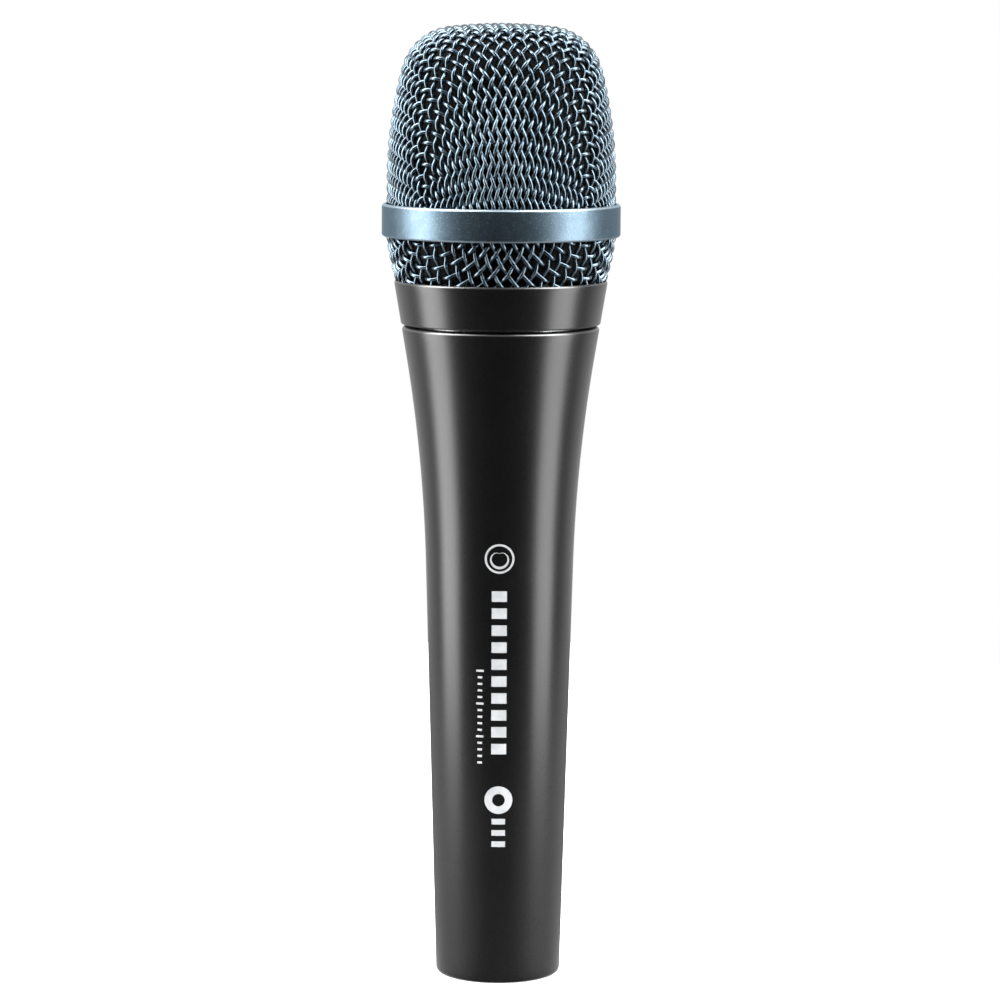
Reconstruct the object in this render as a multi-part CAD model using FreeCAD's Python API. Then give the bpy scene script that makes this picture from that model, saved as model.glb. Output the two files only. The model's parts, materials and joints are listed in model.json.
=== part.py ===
import FreeCAD, Part
import math
import os

# Handheld dynamic microphone, standing upright on the open end of its handle.
# Units are millimetres. The origin is the centre of the handle's base rim, +Z runs up to the grille.

Vector = FreeCAD.Vector

# Overall outline, all radii from the Z axis
TOTAL_HEIGHT = 187.6
BASE_RADIUS = 12.24
BASE_ROUND = 1.0
TAPER_TOP_Z = 82.0
TAPER_TOP_RADIUS = 14.51
FLARE_RADIUS = 300.0
FLARE_END_ANGLE = math.radians(9.5)
HANDLE_TOP_Z = 128.7
SEAM_GAP = 0.35
COLLAR_TOP_Z = 137.6
WALL = 2.0
FIT_GAP = 0.05
PRESS_GAP = 0.02

# Grille: a dome of three tangent arcs, and a cup under the band
DOME_CAP_RADIUS = 85.0
DOME_SHOULDER_RADIUS = 11.0
DOME_SIDE_RADIUS = 85.0
DOME_SIDE_Z = 157.0
GRILLE_RADIUS = 22.4
GRILLE_THICKNESS = 1.6
CUP_BOTTOM_RADIUS = 20.3
CUP_BOTTOM_Z = 136.3
CUP_TOP_RADIUS = 22.55
CUP_BULGE = 0.22
FOAM_GAP = 0.3
FOAM_THICKNESS = 3.0

# Band between dome and cup
BAND_BOTTOM_Z = 146.15
BAND_TOP_Z = 152.55
BAND_RADIUS = 23.3
BAND_WEB_RADIUS = 20.6
BAND_WEB_THICKNESS = 0.8
BAND_ROUND = 0.35

# Neck thread, drawn at its crest with running clearance
THREAD_RADIUS = 16.9
THREAD_CLEARANCE = 0.08
NECK_TOP_Z = 134.6
NECK_BORE_RADIUS = 15.2
NECK_SEAT_RADIUS = 16.6
NECK_SEAT_Z = 121.5
LEDGE_RADIUS = 14.0
LEDGE_BOTTOM_Z = 129.5
LEDGE_TOP_Z = 131.0

# Washer held loosely in the collar, on top of the neck
WASHER_INNER_RADIUS = 15.6
WASHER_OUTER_RADIUS = 18.2
WASHER_THICKNESS = 1.0

# Connector: three contacts on a 7.62 mm circle
INSERT_RADIUS = 9.5
SOCKET_RADIUS = 8.1
SOCKET_MOUTH_Z = 0.6
SOCKET_FLOOR_Z = 15.2
INSERT_TOP_Z = 20.0
PIN_RADIUS = 1.19
PIN_SHANK_RADIUS = 1.35
PIN_TIP_ROUND = 0.8
PIN_HOLE_GAP = 0.01
PIN_CIRCLE_RADIUS = 3.81
PIN_TIP_Z = 5.2
PIN_END_Z = 24.0
PIN_ANGLES = {"xlr_pin_1": 180.0, "xlr_pin_2": 0.0, "xlr_pin_3": 270.0}
LATCH_WIDTH = 4.6
LATCH_BOTTOM_Z = 5.0
LATCH_TOP_Z = 9.5

# Set screw through the back of the handle into the connector
SCREW_Z = 17.7
SCREW_RADIUS = 1.2
SCREW_INNER_Y = 5.7
SCREW_LENGTH = 5.6

# Output transformer in its foam sleeve
TRANSFORMER_BOTTOM_Z = 62.0
TRANSFORMER_TOP_Z = 82.0
TRANSFORMER_RADIUS = 7.5
SLEEVE_RADIUS = 11.7

# Insulated signal leads
LEAD_RADIUS = 0.55
LEAD_BEND = 9.0

# Capsule
CAPSULE_RADIUS = 12.4
CAPSULE_BOTTOM_Z = 114.0
CAPSULE_TOP_Z = 151.6
CAPSULE_WALL = 1.2
CAP_RADIUS = 14.2
CAP_BOTTOM_Z = 148.6
CAP_TOP_Z = 158.4
CAP_WALL = 0.9
CAP_ROUND = 1.6
CAP_HOLE_RADIUS = 0.9
CAP_HOLE_RINGS = ((0.0, 1), (3.3, 6), (6.6, 12), (9.9, 18))
VENT_COUNT = 12
VENT_BOTTOM_Z = 143.2
VENT_TOP_Z = 146.6
VENT_WIDTH = 2.2
YOKE_RADIUS = 9.5
YOKE_BOTTOM_Z = 136.0
YOKE_TOP_Z = 149.0
MAGNET_RADIUS = 6.0
MAGNET_BOTTOM_Z = 139.0
MAGNET_TOP_Z = 146.2
GAP_RADIUS = 7.4
COIL_INNER_RADIUS = 6.45
COIL_OUTER_RADIUS = 6.95
COIL_BOTTOM_Z = 145.9
COIL_TOP_Z = 151.7
DOME_RISE = 2.3
DIAPHRAGM_THICKNESS = 0.25
SURROUND_OUTER_RADIUS = 11.9

# Rubber mounts around the capsule
MOUNT_FLANGE_RADIUS = 15.1
MOUNT_SLEEVE_Z = 127.0
MOUNT_FLANGE_TOP_Z = 132.6
SHOCK_RING_BOTTOM_Z = 116.0
SHOCK_RING_TOP_Z = 119.0


def point(radius, z):
    return Vector(radius, 0, z)


def arc_edge(center, radius, start_angle, end_angle):
    """Arc in the XZ half plane, its angles measured from +X towards +Z."""
    angles = (start_angle, (start_angle + end_angle) / 2, end_angle)
    points = [point(center[0] + radius * math.cos(a), center[1] + radius * math.sin(a)) for a in angles]
    return Part.Arc(*points).toShape()


def bow_edge(start, end, rise):
    """Shallow arc between two points at one height."""
    middle = ((start[0] + end[0]) / 2, start[1] + rise)
    return Part.Arc(point(*start), point(*middle), point(*end)).toShape()


def line_edges(points):
    return [Part.LineSegment(point(*a), point(*b)).toShape() for a, b in zip(points, points[1:])]


def turn(edges):
    """Solid of revolution about Z from a closed chain of edges."""
    face = Part.Face(Part.Wire(edges))
    return face.revolve(Vector(0, 0, 0), Vector(0, 0, 1), 360)


def lathe(points):
    return turn(line_edges(list(points) + [points[0]]))


def ring(inner_radius, outer_radius, bottom_z, top_z):
    disc = Part.makeCylinder(outer_radius, top_z - bottom_z, Vector(0, 0, bottom_z))
    if inner_radius <= 0:
        return disc
    return disc.cut(Part.makeCylinder(inner_radius, top_z - bottom_z, Vector(0, 0, bottom_z)))


def around(shape, count):
    """Copies of a shape spaced evenly about Z."""
    turned = []
    for index in range(count):
        copy = shape.copy()
        copy.rotate(Vector(0, 0, 0), Vector(0, 0, 1), 360.0 * index / count)
        turned.append(copy)
    return turned


# The outside of the handle and collar is one line: a straight taper, a flare arc, then a straight cone.
TAPER_ANGLE = math.atan((TAPER_TOP_RADIUS - BASE_RADIUS) / TAPER_TOP_Z)
FLARE_CENTER = (
    TAPER_TOP_RADIUS + FLARE_RADIUS * math.cos(TAPER_ANGLE),
    TAPER_TOP_Z - FLARE_RADIUS * math.sin(TAPER_ANGLE),
)
FLARE_END_Z = FLARE_CENTER[1] + FLARE_RADIUS * math.sin(FLARE_END_ANGLE)
FLARE_END_R = FLARE_CENTER[0] - FLARE_RADIUS * math.cos(FLARE_END_ANGLE)


def outside_radius(z):
    if z <= TAPER_TOP_Z:
        return BASE_RADIUS + z * math.tan(TAPER_ANGLE)
    if z <= FLARE_END_Z:
        return FLARE_CENTER[0] - math.sqrt(FLARE_RADIUS**2 - (z - FLARE_CENTER[1]) ** 2)
    return FLARE_END_R + (z - FLARE_END_Z) * math.tan(FLARE_END_ANGLE)


def cup_radius(z):
    """Outside of the wire cup, a slightly bulging cone between collar and band."""
    share = (z - CUP_BOTTOM_Z) / (BAND_BOTTOM_Z - CUP_BOTTOM_Z)
    bulge = 4 * CUP_BULGE * share * (1 - share)
    return CUP_BOTTOM_RADIUS + share * (CUP_TOP_RADIUS - CUP_BOTTOM_RADIUS) + bulge


def handle_shell():
    seat_top = INSERT_TOP_Z + 0.2
    cavity_z = 24.0
    ledge_radius = 8.9
    flare_start_angle = math.pi - TAPER_ANGLE
    flare_end_angle = math.pi - FLARE_END_ANGLE
    inner_flare_radius = FLARE_RADIUS + WALL
    inner_end_angle = math.pi - math.asin((NECK_SEAT_Z - FLARE_CENTER[1]) / inner_flare_radius)
    inner_end_r = FLARE_CENTER[0] + inner_flare_radius * math.cos(inner_end_angle)
    inner_start = (
        FLARE_CENTER[0] + inner_flare_radius * math.cos(flare_start_angle),
        FLARE_CENTER[1] + inner_flare_radius * math.sin(flare_start_angle),
    )
    round_center = (outside_radius(BASE_ROUND) - BASE_ROUND, BASE_ROUND)
    edges = [arc_edge(round_center, BASE_ROUND, -math.pi / 2, 0)]
    edges += line_edges([(outside_radius(BASE_ROUND), BASE_ROUND), (TAPER_TOP_RADIUS, TAPER_TOP_Z)])
    edges.append(arc_edge(FLARE_CENTER, FLARE_RADIUS, flare_start_angle, flare_end_angle))
    edges += line_edges([
        (FLARE_END_R, FLARE_END_Z),
        (outside_radius(HANDLE_TOP_Z), HANDLE_TOP_Z),
        (NECK_SEAT_RADIUS, HANDLE_TOP_Z),
        (NECK_SEAT_RADIUS, NECK_SEAT_Z),
        (inner_end_r, NECK_SEAT_Z),
    ])
    edges.append(arc_edge(FLARE_CENTER, inner_flare_radius, inner_end_angle, flare_start_angle))
    edges += line_edges([
        inner_start,
        (outside_radius(cavity_z) - WALL, cavity_z),
        (ledge_radius, cavity_z - WALL),
        (ledge_radius, seat_top),
        (INSERT_RADIUS + FIT_GAP, seat_top),
        (INSERT_RADIUS + FIT_GAP, 0),
        (round_center[0], 0),
    ])
    shell = turn(edges)
    return shell.cut(back_cylinder(SCREW_RADIUS + 0.3, INSERT_RADIUS - 1, WALL * 3))


def thread_ring():
    """Externally threaded ring, pressed into the top of the handle."""
    flange_z = HANDLE_TOP_Z + SEAM_GAP / 2
    seat_radius = NECK_SEAT_RADIUS - PRESS_GAP
    return lathe([
        (seat_radius, NECK_SEAT_Z + FIT_GAP),
        (seat_radius, flange_z),
        (THREAD_RADIUS, flange_z),
        (THREAD_RADIUS, NECK_TOP_Z - 0.5),
        (THREAD_RADIUS - 0.5, NECK_TOP_Z),
        (NECK_BORE_RADIUS, NECK_TOP_Z),
        (NECK_BORE_RADIUS, LEDGE_TOP_Z),
        (LEDGE_RADIUS, LEDGE_TOP_Z),
        (LEDGE_RADIUS, LEDGE_BOTTOM_Z),
        (NECK_BORE_RADIUS, LEDGE_BOTTOM_Z - 1.2),
        (NECK_BORE_RADIUS, NECK_SEAT_Z + FIT_GAP),
    ])


def retaining_ring():
    """Slotted ring that holds the rubber mount down on the ledge."""
    inner_radius = 13.6
    slot_width = 1.4
    slot_depth = 1.0
    slot_count = 4
    body = ring(inner_radius, NECK_BORE_RADIUS - FIT_GAP, MOUNT_FLANGE_TOP_Z, NECK_TOP_Z - 2 * FIT_GAP)
    slot_corner = Vector(-slot_width / 2, inner_radius - 1, NECK_TOP_Z - slot_depth)
    slot = Part.makeBox(slot_width, NECK_BORE_RADIUS - inner_radius + 2, slot_depth, slot_corner)
    for copy in around(slot, slot_count):
        body = body.cut(copy)
    return body


def shock_mount():
    """Rubber mount: a flange on the ledge, a thin web and a sleeve around the capsule."""
    sleeve_inner = CAPSULE_RADIUS + PRESS_GAP
    sleeve_outer = 13.2
    sleeve_top_z = MOUNT_FLANGE_TOP_Z + 2.2
    web_z = LEDGE_TOP_Z
    return lathe([
        (sleeve_inner, MOUNT_SLEEVE_Z),
        (sleeve_outer, MOUNT_SLEEVE_Z),
        (sleeve_outer, web_z - 0.6),
        (LEDGE_RADIUS - 0.2, web_z),
        (MOUNT_FLANGE_RADIUS, web_z),
        (MOUNT_FLANGE_RADIUS, MOUNT_FLANGE_TOP_Z),
        (LEDGE_RADIUS + 0.4, MOUNT_FLANGE_TOP_Z),
        (LEDGE_RADIUS, web_z + 0.8),
        (sleeve_outer, web_z + 0.2),
        (sleeve_outer, sleeve_top_z),
        (sleeve_inner, sleeve_top_z),
    ])


def shock_ring():
    """Lower rubber ring with a waisted section."""
    outer = outside_radius(SHOCK_RING_BOTTOM_Z) - WALL - 0.25
    middle_z = (SHOCK_RING_BOTTOM_Z + SHOCK_RING_TOP_Z) / 2
    return lathe([
        (CAPSULE_RADIUS + PRESS_GAP, SHOCK_RING_BOTTOM_Z),
        (outer, SHOCK_RING_BOTTOM_Z),
        (outer - 0.9, middle_z),
        (outer, SHOCK_RING_TOP_Z),
        (CAPSULE_RADIUS + PRESS_GAP, SHOCK_RING_TOP_Z),
    ])


def head_collar():
    """Collar with the female thread below, the washer recess, and the lip that holds the cup."""
    bottom_z = HANDLE_TOP_Z + SEAM_GAP
    thread_bore = THREAD_RADIUS + THREAD_CLEARANCE
    recess_radius = WASHER_OUTER_RADIUS + 0.1
    recess_top = NECK_TOP_Z + WASHER_THICKNESS + 2 * FIT_GAP
    opening_radius = 17.4
    lip_inner = cup_radius(CUP_BOTTOM_Z) - GRILLE_THICKNESS - 0.1
    groove_z = CUP_BOTTOM_Z - FIT_GAP
    return lathe([
        (thread_bore, bottom_z),
        (outside_radius(bottom_z), bottom_z),
        (outside_radius(COLLAR_TOP_Z), COLLAR_TOP_Z),
        (cup_radius(COLLAR_TOP_Z) + PRESS_GAP, COLLAR_TOP_Z),
        (cup_radius(groove_z) + PRESS_GAP, groove_z),
        (lip_inner, groove_z),
        (lip_inner, COLLAR_TOP_Z - 0.3),
        (opening_radius, COLLAR_TOP_Z - 0.3),
        (opening_radius, recess_top),
        (recess_radius, recess_top),
        (recess_radius, NECK_TOP_Z),
        (thread_bore, NECK_TOP_Z),
    ])


def lower_basket():
    top_z = BAND_BOTTOM_Z + (BAND_TOP_Z - BAND_BOTTOM_Z - BAND_WEB_THICKNESS) / 2 - FIT_GAP
    middle_z = (CUP_BOTTOM_Z + BAND_BOTTOM_Z) / 2
    inner_top = CUP_TOP_RADIUS - GRILLE_THICKNESS
    inner_bottom = CUP_BOTTOM_RADIUS - GRILLE_THICKNESS
    outer_points = (
        point(CUP_BOTTOM_RADIUS, CUP_BOTTOM_Z),
        point(cup_radius(middle_z), middle_z),
        point(CUP_TOP_RADIUS, BAND_BOTTOM_Z),
    )
    inner_points = [place - Vector(GRILLE_THICKNESS, 0, 0) for place in reversed(outer_points)]
    edges = [Part.Arc(*outer_points).toShape()]
    edges += line_edges([
        (CUP_TOP_RADIUS, BAND_BOTTOM_Z),
        (CUP_TOP_RADIUS, top_z),
        (inner_top, top_z),
        (inner_top, BAND_BOTTOM_Z),
    ])
    edges.append(Part.Arc(*inner_points).toShape())
    edges += line_edges([(inner_bottom, CUP_BOTTOM_Z), (CUP_BOTTOM_RADIUS, CUP_BOTTOM_Z)])
    return turn(edges)


def head_band():
    """Ring with rounded outer edges and an inner web between the two baskets."""
    web_bottom = BAND_BOTTOM_Z + (BAND_TOP_Z - BAND_BOTTOM_Z - BAND_WEB_THICKNESS) / 2
    web_top = web_bottom + BAND_WEB_THICKNESS
    edge_r = BAND_RADIUS - BAND_ROUND
    cup_bore = CUP_TOP_RADIUS + FIT_GAP
    dome_bore = GRILLE_RADIUS + FIT_GAP
    edges = line_edges([
        (BAND_WEB_RADIUS, web_bottom),
        (cup_bore, web_bottom),
        (cup_bore, BAND_BOTTOM_Z),
        (edge_r, BAND_BOTTOM_Z),
    ])
    edges.append(arc_edge((edge_r, BAND_BOTTOM_Z + BAND_ROUND), BAND_ROUND, -math.pi / 2, 0))
    edges += line_edges([(BAND_RADIUS, BAND_BOTTOM_Z + BAND_ROUND), (BAND_RADIUS, BAND_TOP_Z - BAND_ROUND)])
    edges.append(arc_edge((edge_r, BAND_TOP_Z - BAND_ROUND), BAND_ROUND, 0, math.pi / 2))
    edges += line_edges([
        (edge_r, BAND_TOP_Z),
        (dome_bore, BAND_TOP_Z),
        (dome_bore, web_top),
        (BAND_WEB_RADIUS, web_top),
        (BAND_WEB_RADIUS, web_bottom),
    ])
    return turn(edges)


def dome_geometry():
    """Centres of the dome's arcs and the angles where they meet, from its three radii."""
    cap_center = (0.0, TOTAL_HEIGHT - DOME_CAP_RADIUS)
    side_center = (GRILLE_RADIUS - DOME_SIDE_RADIUS, DOME_SIDE_Z)
    cap_reach = DOME_CAP_RADIUS - DOME_SHOULDER_RADIUS
    side_reach = DOME_SIDE_RADIUS - DOME_SHOULDER_RADIUS
    across = cap_center[0] - side_center[0]
    up = cap_center[1] - side_center[1]
    distance = math.hypot(across, up)
    bearing = math.atan2(up, across)
    offset = math.acos((side_reach**2 + distance**2 - cap_reach**2) / (2 * side_reach * distance))
    side_angle = bearing + offset
    shoulder_center = (
        side_center[0] + side_reach * math.cos(side_angle),
        side_center[1] + side_reach * math.sin(side_angle),
    )
    cap_angle = math.atan2(shoulder_center[1] - cap_center[1], shoulder_center[0] - cap_center[0])
    return cap_center, shoulder_center, side_center, cap_angle, side_angle


def dome_shell(inset, thickness, bottom_z):
    """Shell that follows the dome, its outside the given distance inside the envelope."""
    cap_center, shoulder_center, side_center, cap_angle, side_angle = dome_geometry()
    outer = [
        (cap_center, DOME_CAP_RADIUS - inset, math.pi / 2, cap_angle),
        (shoulder_center, DOME_SHOULDER_RADIUS - inset, cap_angle, side_angle),
        (side_center, DOME_SIDE_RADIUS - inset, side_angle, 0),
    ]
    inner = [(center, radius - thickness, end, start) for center, radius, start, end in reversed(outer)]
    outer_r = GRILLE_RADIUS - inset
    inner_r = outer_r - thickness
    edges = [arc_edge(*arc) for arc in outer]
    edges += line_edges([
        (outer_r, DOME_SIDE_Z),
        (outer_r, bottom_z),
        (inner_r, bottom_z),
        (inner_r, DOME_SIDE_Z),
    ])
    edges += [arc_edge(*arc) for arc in inner]
    top_z = TOTAL_HEIGHT - inset
    edges += line_edges([(0, top_z - thickness), (0, top_z)])
    return turn(edges)


def upper_basket():
    web_top = (BAND_BOTTOM_Z + BAND_TOP_Z + BAND_WEB_THICKNESS) / 2
    return dome_shell(0.0, GRILLE_THICKNESS, web_top + FIT_GAP)


def upper_foam():
    web_top = (BAND_BOTTOM_Z + BAND_TOP_Z + BAND_WEB_THICKNESS) / 2
    return dome_shell(GRILLE_THICKNESS + FOAM_GAP, FOAM_THICKNESS, web_top + FOAM_GAP)


def lower_foam():
    inset = GRILLE_THICKNESS + FOAM_GAP
    bottom_z = COLLAR_TOP_Z + 0.2
    top_z = (BAND_BOTTOM_Z + BAND_TOP_Z - BAND_WEB_THICKNESS) / 2 - FOAM_GAP
    inner_radius = 17.2
    return lathe([
        (inner_radius, bottom_z),
        (cup_radius(bottom_z) - inset, bottom_z),
        (CUP_TOP_RADIUS - inset, BAND_BOTTOM_Z),
        (CUP_TOP_RADIUS - inset, top_z),
        (inner_radius, top_z),
    ])


def neck_washer():
    bottom_z = NECK_TOP_Z + FIT_GAP
    return ring(WASHER_INNER_RADIUS, WASHER_OUTER_RADIUS, bottom_z, bottom_z + WASHER_THICKNESS)


def xlr_insert():
    """Connector body: a cup for the plug, a floor with three contact holes and the screw pocket."""
    body = lathe([
        (SOCKET_RADIUS, SOCKET_MOUTH_Z),
        (INSERT_RADIUS, SOCKET_MOUTH_Z),
        (INSERT_RADIUS, INSERT_TOP_Z),
        (0, INSERT_TOP_Z),
        (0, SOCKET_FLOOR_Z),
        (SOCKET_RADIUS, SOCKET_FLOOR_Z),
    ])
    for angle in PIN_ANGLES.values():
        hole_radius = PIN_SHANK_RADIUS + PIN_HOLE_GAP
        hole = contact_cylinder(angle, hole_radius, SOCKET_FLOOR_Z - 1, INSERT_TOP_Z + 1)
        body = body.cut(hole)
    latch_corner = Vector(-LATCH_WIDTH / 2, SOCKET_RADIUS - 0.6, LATCH_BOTTOM_Z)
    latch = Part.makeBox(LATCH_WIDTH, 3.0, LATCH_TOP_Z - LATCH_BOTTOM_Z, latch_corner)
    pocket = back_cylinder(SCREW_RADIUS + 0.03, SCREW_INNER_Y - 0.1, SCREW_LENGTH)
    return body.cut(latch).cut(pocket)


def back_cylinder(radius, start_y, length):
    """Cylinder along +Y at the height of the set screw."""
    return Part.makeCylinder(radius, length, Vector(0, start_y, SCREW_Z), Vector(0, 1, 0))


def contact_cylinder(angle, radius, bottom_z, top_z):
    x = PIN_CIRCLE_RADIUS * math.cos(math.radians(angle))
    y = PIN_CIRCLE_RADIUS * math.sin(math.radians(angle))
    return Part.makeCylinder(radius, top_z - bottom_z, Vector(x, y, bottom_z))


def xlr_pin(angle):
    """Contact with a rounded tip, and a thicker shank with a solder end through the floor."""
    front = contact_cylinder(angle, PIN_RADIUS, PIN_TIP_Z, SOCKET_FLOOR_Z)
    tip_edges = [edge for edge in front.Edges if edge.Closed and edge.BoundBox.ZMax < PIN_TIP_Z + 0.01]
    shank = contact_cylinder(angle, PIN_SHANK_RADIUS, SOCKET_FLOOR_Z, PIN_END_Z)
    return front.makeFillet(PIN_TIP_ROUND, tip_edges).fuse(shank)


def ground_tab():
    """Spring leaf from pin 1 along the connector's back to the handle wall."""
    width = 2.5
    thickness = 0.3
    bottom_z = INSERT_TOP_Z + FIT_GAP
    wall_x = 8.7
    pin_x = PIN_CIRCLE_RADIUS + PIN_SHANK_RADIUS + PIN_HOLE_GAP
    foot = Part.makeBox(wall_x - pin_x, width, thickness, Vector(-wall_x, -width / 2, bottom_z))
    leg = Part.makeBox(thickness, width, 3.5, Vector(-wall_x, -width / 2, bottom_z))
    return foot.fuse(leg).removeSplitter()


def lock_screw():
    """Set screw with a slotted end, reached through the hole in the back of the handle."""
    screw = back_cylinder(SCREW_RADIUS, SCREW_INNER_Y, SCREW_LENGTH)
    slot_depth = 0.7
    slot_width = 0.5
    slot_length = 4.0
    slot_y = SCREW_INNER_Y + SCREW_LENGTH - slot_depth
    slot_corner = Vector(-slot_length / 2, slot_y, SCREW_Z - slot_width / 2)
    return screw.cut(Part.makeBox(slot_length, slot_depth, slot_width, slot_corner))


def transformer_can():
    """Closed can with rounded rims."""
    can = ring(0, TRANSFORMER_RADIUS, TRANSFORMER_BOTTOM_Z, TRANSFORMER_TOP_Z)
    rims = [edge for edge in can.Edges if edge.Curve.TypeId == "Part::GeomCircle"]
    return can.makeFillet(0.8, rims)


def transformer_sleeve():
    """Foam sleeve that holds the can in the middle of the handle."""
    inset = 2.0
    inner_radius = TRANSFORMER_RADIUS + 2 * FIT_GAP
    return ring(inner_radius, SLEEVE_RADIUS, TRANSFORMER_BOTTOM_Z + inset, TRANSFORMER_TOP_Z - inset)


def lead(points):
    """Insulated wire: straight runs joined by tangent arcs, swept as one tube."""
    corners = [Vector(*p) for p in points]
    edges = []
    start = corners[0]
    for before, corner, after in zip(corners, corners[1:], corners[2:]):
        into = (corner - before).normalize()
        out = (after - corner).normalize()
        half_turn = into.getAngle(out) / 2
        setback = LEAD_BEND * math.tan(half_turn)
        first = corner - into * setback
        last = corner + out * setback
        inward = (out - into).normalize()
        middle = corner + inward * (LEAD_BEND / math.cos(half_turn) - LEAD_BEND)
        edges.append(Part.LineSegment(start, first).toShape())
        edges.append(Part.Arc(first, middle, last).toShape())
        start = last
    edges.append(Part.LineSegment(start, corners[-1]).toShape())
    path = Part.Wire(edges)
    direction = (corners[1] - corners[0]).normalize()
    section = Part.Wire(Part.makeCircle(LEAD_RADIUS, corners[0], direction))
    return path.makePipeShell([section], True, False)


def lead_route(start, end):
    """A wire that leaves straight up, crosses over between two heights and arrives straight up."""
    rise = (end[2] - start[2]) * 0.35
    return lead([start, (start[0], start[1], start[2] + rise), (end[0], end[1], end[2] - rise), end])


def lower_lead(pin_name, side):
    angle = math.radians(PIN_ANGLES[pin_name])
    start = (PIN_CIRCLE_RADIUS * math.cos(angle), PIN_CIRCLE_RADIUS * math.sin(angle), PIN_END_Z)
    return lead_route(start, (side * 3.0, side * 1.5, TRANSFORMER_BOTTOM_Z))


def upper_lead(side):
    start = (side * 3.0, side * 1.5, TRANSFORMER_TOP_Z)
    return lead_route(start, (side * 5.0, 0.0, CAPSULE_BOTTOM_Z))


def capsule_shell():
    """Cylindrical body with a ring of rear vents under the cap."""
    inner = CAPSULE_RADIUS - CAPSULE_WALL
    shell = ring(inner, CAPSULE_RADIUS, CAPSULE_BOTTOM_Z, CAPSULE_TOP_Z)
    deck = ring(YOKE_RADIUS + FIT_GAP, inner, YOKE_BOTTOM_Z + 1.0, YOKE_BOTTOM_Z + 2.2)
    stop = ring(YOKE_RADIUS - 1.0, inner, YOKE_BOTTOM_Z - 1.0, YOKE_BOTTOM_Z)
    shell = shell.fuse([deck, stop]).removeSplitter()
    vent_corner = Vector(CAPSULE_RADIUS - 3.0, -VENT_WIDTH / 2, VENT_BOTTOM_Z)
    vent = Part.makeBox(4.0, VENT_WIDTH, VENT_TOP_Z - VENT_BOTTOM_Z, vent_corner)
    for copy in around(vent, VENT_COUNT):
        shell = shell.cut(copy)
    return shell


def capsule_cap():
    """Front cap with rings of small holes, over the top of the shell."""
    inner = CAPSULE_RADIUS + FIT_GAP
    top_inner = CAP_RADIUS - CAP_WALL
    round_center = (CAP_RADIUS - CAP_ROUND, CAP_TOP_Z - CAP_ROUND)
    edges = line_edges([
        (0, CAP_TOP_Z - CAP_WALL),
        (top_inner - CAP_ROUND + CAP_WALL, CAP_TOP_Z - CAP_WALL),
        (top_inner, CAP_TOP_Z - CAP_ROUND),
        (top_inner, CAPSULE_TOP_Z + 0.6),
        (inner, CAPSULE_TOP_Z),
        (inner, CAP_BOTTOM_Z),
        (CAP_RADIUS, CAP_BOTTOM_Z),
        (CAP_RADIUS, CAP_TOP_Z - CAP_ROUND),
    ])
    edges.append(arc_edge(round_center, CAP_ROUND, 0, math.pi / 2))
    edges += line_edges([(round_center[0], CAP_TOP_Z), (0, CAP_TOP_Z), (0, CAP_TOP_Z - CAP_WALL)])
    cap = turn(edges)
    holes = []
    for circle_radius, count in CAP_HOLE_RINGS:
        hole_foot = Vector(circle_radius, 0, CAP_TOP_Z - 2 * CAP_WALL)
        hole = Part.makeCylinder(CAP_HOLE_RADIUS, 3 * CAP_WALL, hole_foot)
        holes += around(hole, count)
    return cap.cut(Part.makeCompound(holes))


def dust_cloth():
    """Disc of cloth against the inside of the cap."""
    thickness = 0.45
    top_z = CAP_TOP_Z - CAP_WALL - FIT_GAP
    return ring(0, CAP_RADIUS - CAP_ROUND - 1.0, top_z - thickness, top_z)


def resistance_felt():
    """Felt ring between the yoke and the shell, just above the vents."""
    thickness = 1.2
    bottom_z = VENT_TOP_Z + 0.2
    inner_radius = YOKE_RADIUS + 2 * FIT_GAP
    return ring(inner_radius, CAPSULE_RADIUS - CAPSULE_WALL - 2 * FIT_GAP, bottom_z, bottom_z + thickness)


def pole_yoke():
    """Soft iron cup, its top ring closing round the coil's gap."""
    plate_thickness = MAGNET_BOTTOM_Z - YOKE_BOTTOM_Z
    wall_inner = 8.1
    ring_thickness = 2.6
    return lathe([
        (0, YOKE_BOTTOM_Z),
        (YOKE_RADIUS, YOKE_BOTTOM_Z),
        (YOKE_RADIUS, YOKE_TOP_Z),
        (GAP_RADIUS, YOKE_TOP_Z),
        (GAP_RADIUS, YOKE_TOP_Z - ring_thickness),
        (wall_inner, YOKE_TOP_Z - ring_thickness),
        (wall_inner, YOKE_BOTTOM_Z + plate_thickness),
        (0, YOKE_BOTTOM_Z + plate_thickness),
    ])


def magnet():
    return ring(0, MAGNET_RADIUS - 2 * FIT_GAP, MAGNET_BOTTOM_Z, MAGNET_TOP_Z)


def pole_piece():
    return ring(0, MAGNET_RADIUS, MAGNET_TOP_Z, YOKE_TOP_Z)


def hum_coil():
    """Flat winding under the yoke that cancels hum."""
    inner_radius = 5.5
    height = 3.5
    top_z = YOKE_BOTTOM_Z - 1.1
    return ring(inner_radius, YOKE_RADIUS - 0.6, top_z - height, top_z)


def terminal_board():
    """Round board that closes the shell's lower end, with two lead holes."""
    thickness = 1.2
    hole_radius = 0.8
    hole_offset = 6.0
    board_radius = CAPSULE_RADIUS - CAPSULE_WALL - FIT_GAP
    board = ring(0, board_radius, CAPSULE_BOTTOM_Z, CAPSULE_BOTTOM_Z + thickness)
    hole_foot = Vector(0, hole_offset, CAPSULE_BOTTOM_Z - thickness / 2)
    hole = Part.makeCylinder(hole_radius, 2 * thickness, hole_foot)
    for copy in around(hole, 2):
        board = board.cut(copy)
    return board


def voice_coil():
    return ring(COIL_INNER_RADIUS, COIL_OUTER_RADIUS, COIL_BOTTOM_Z, COIL_TOP_Z)


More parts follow.
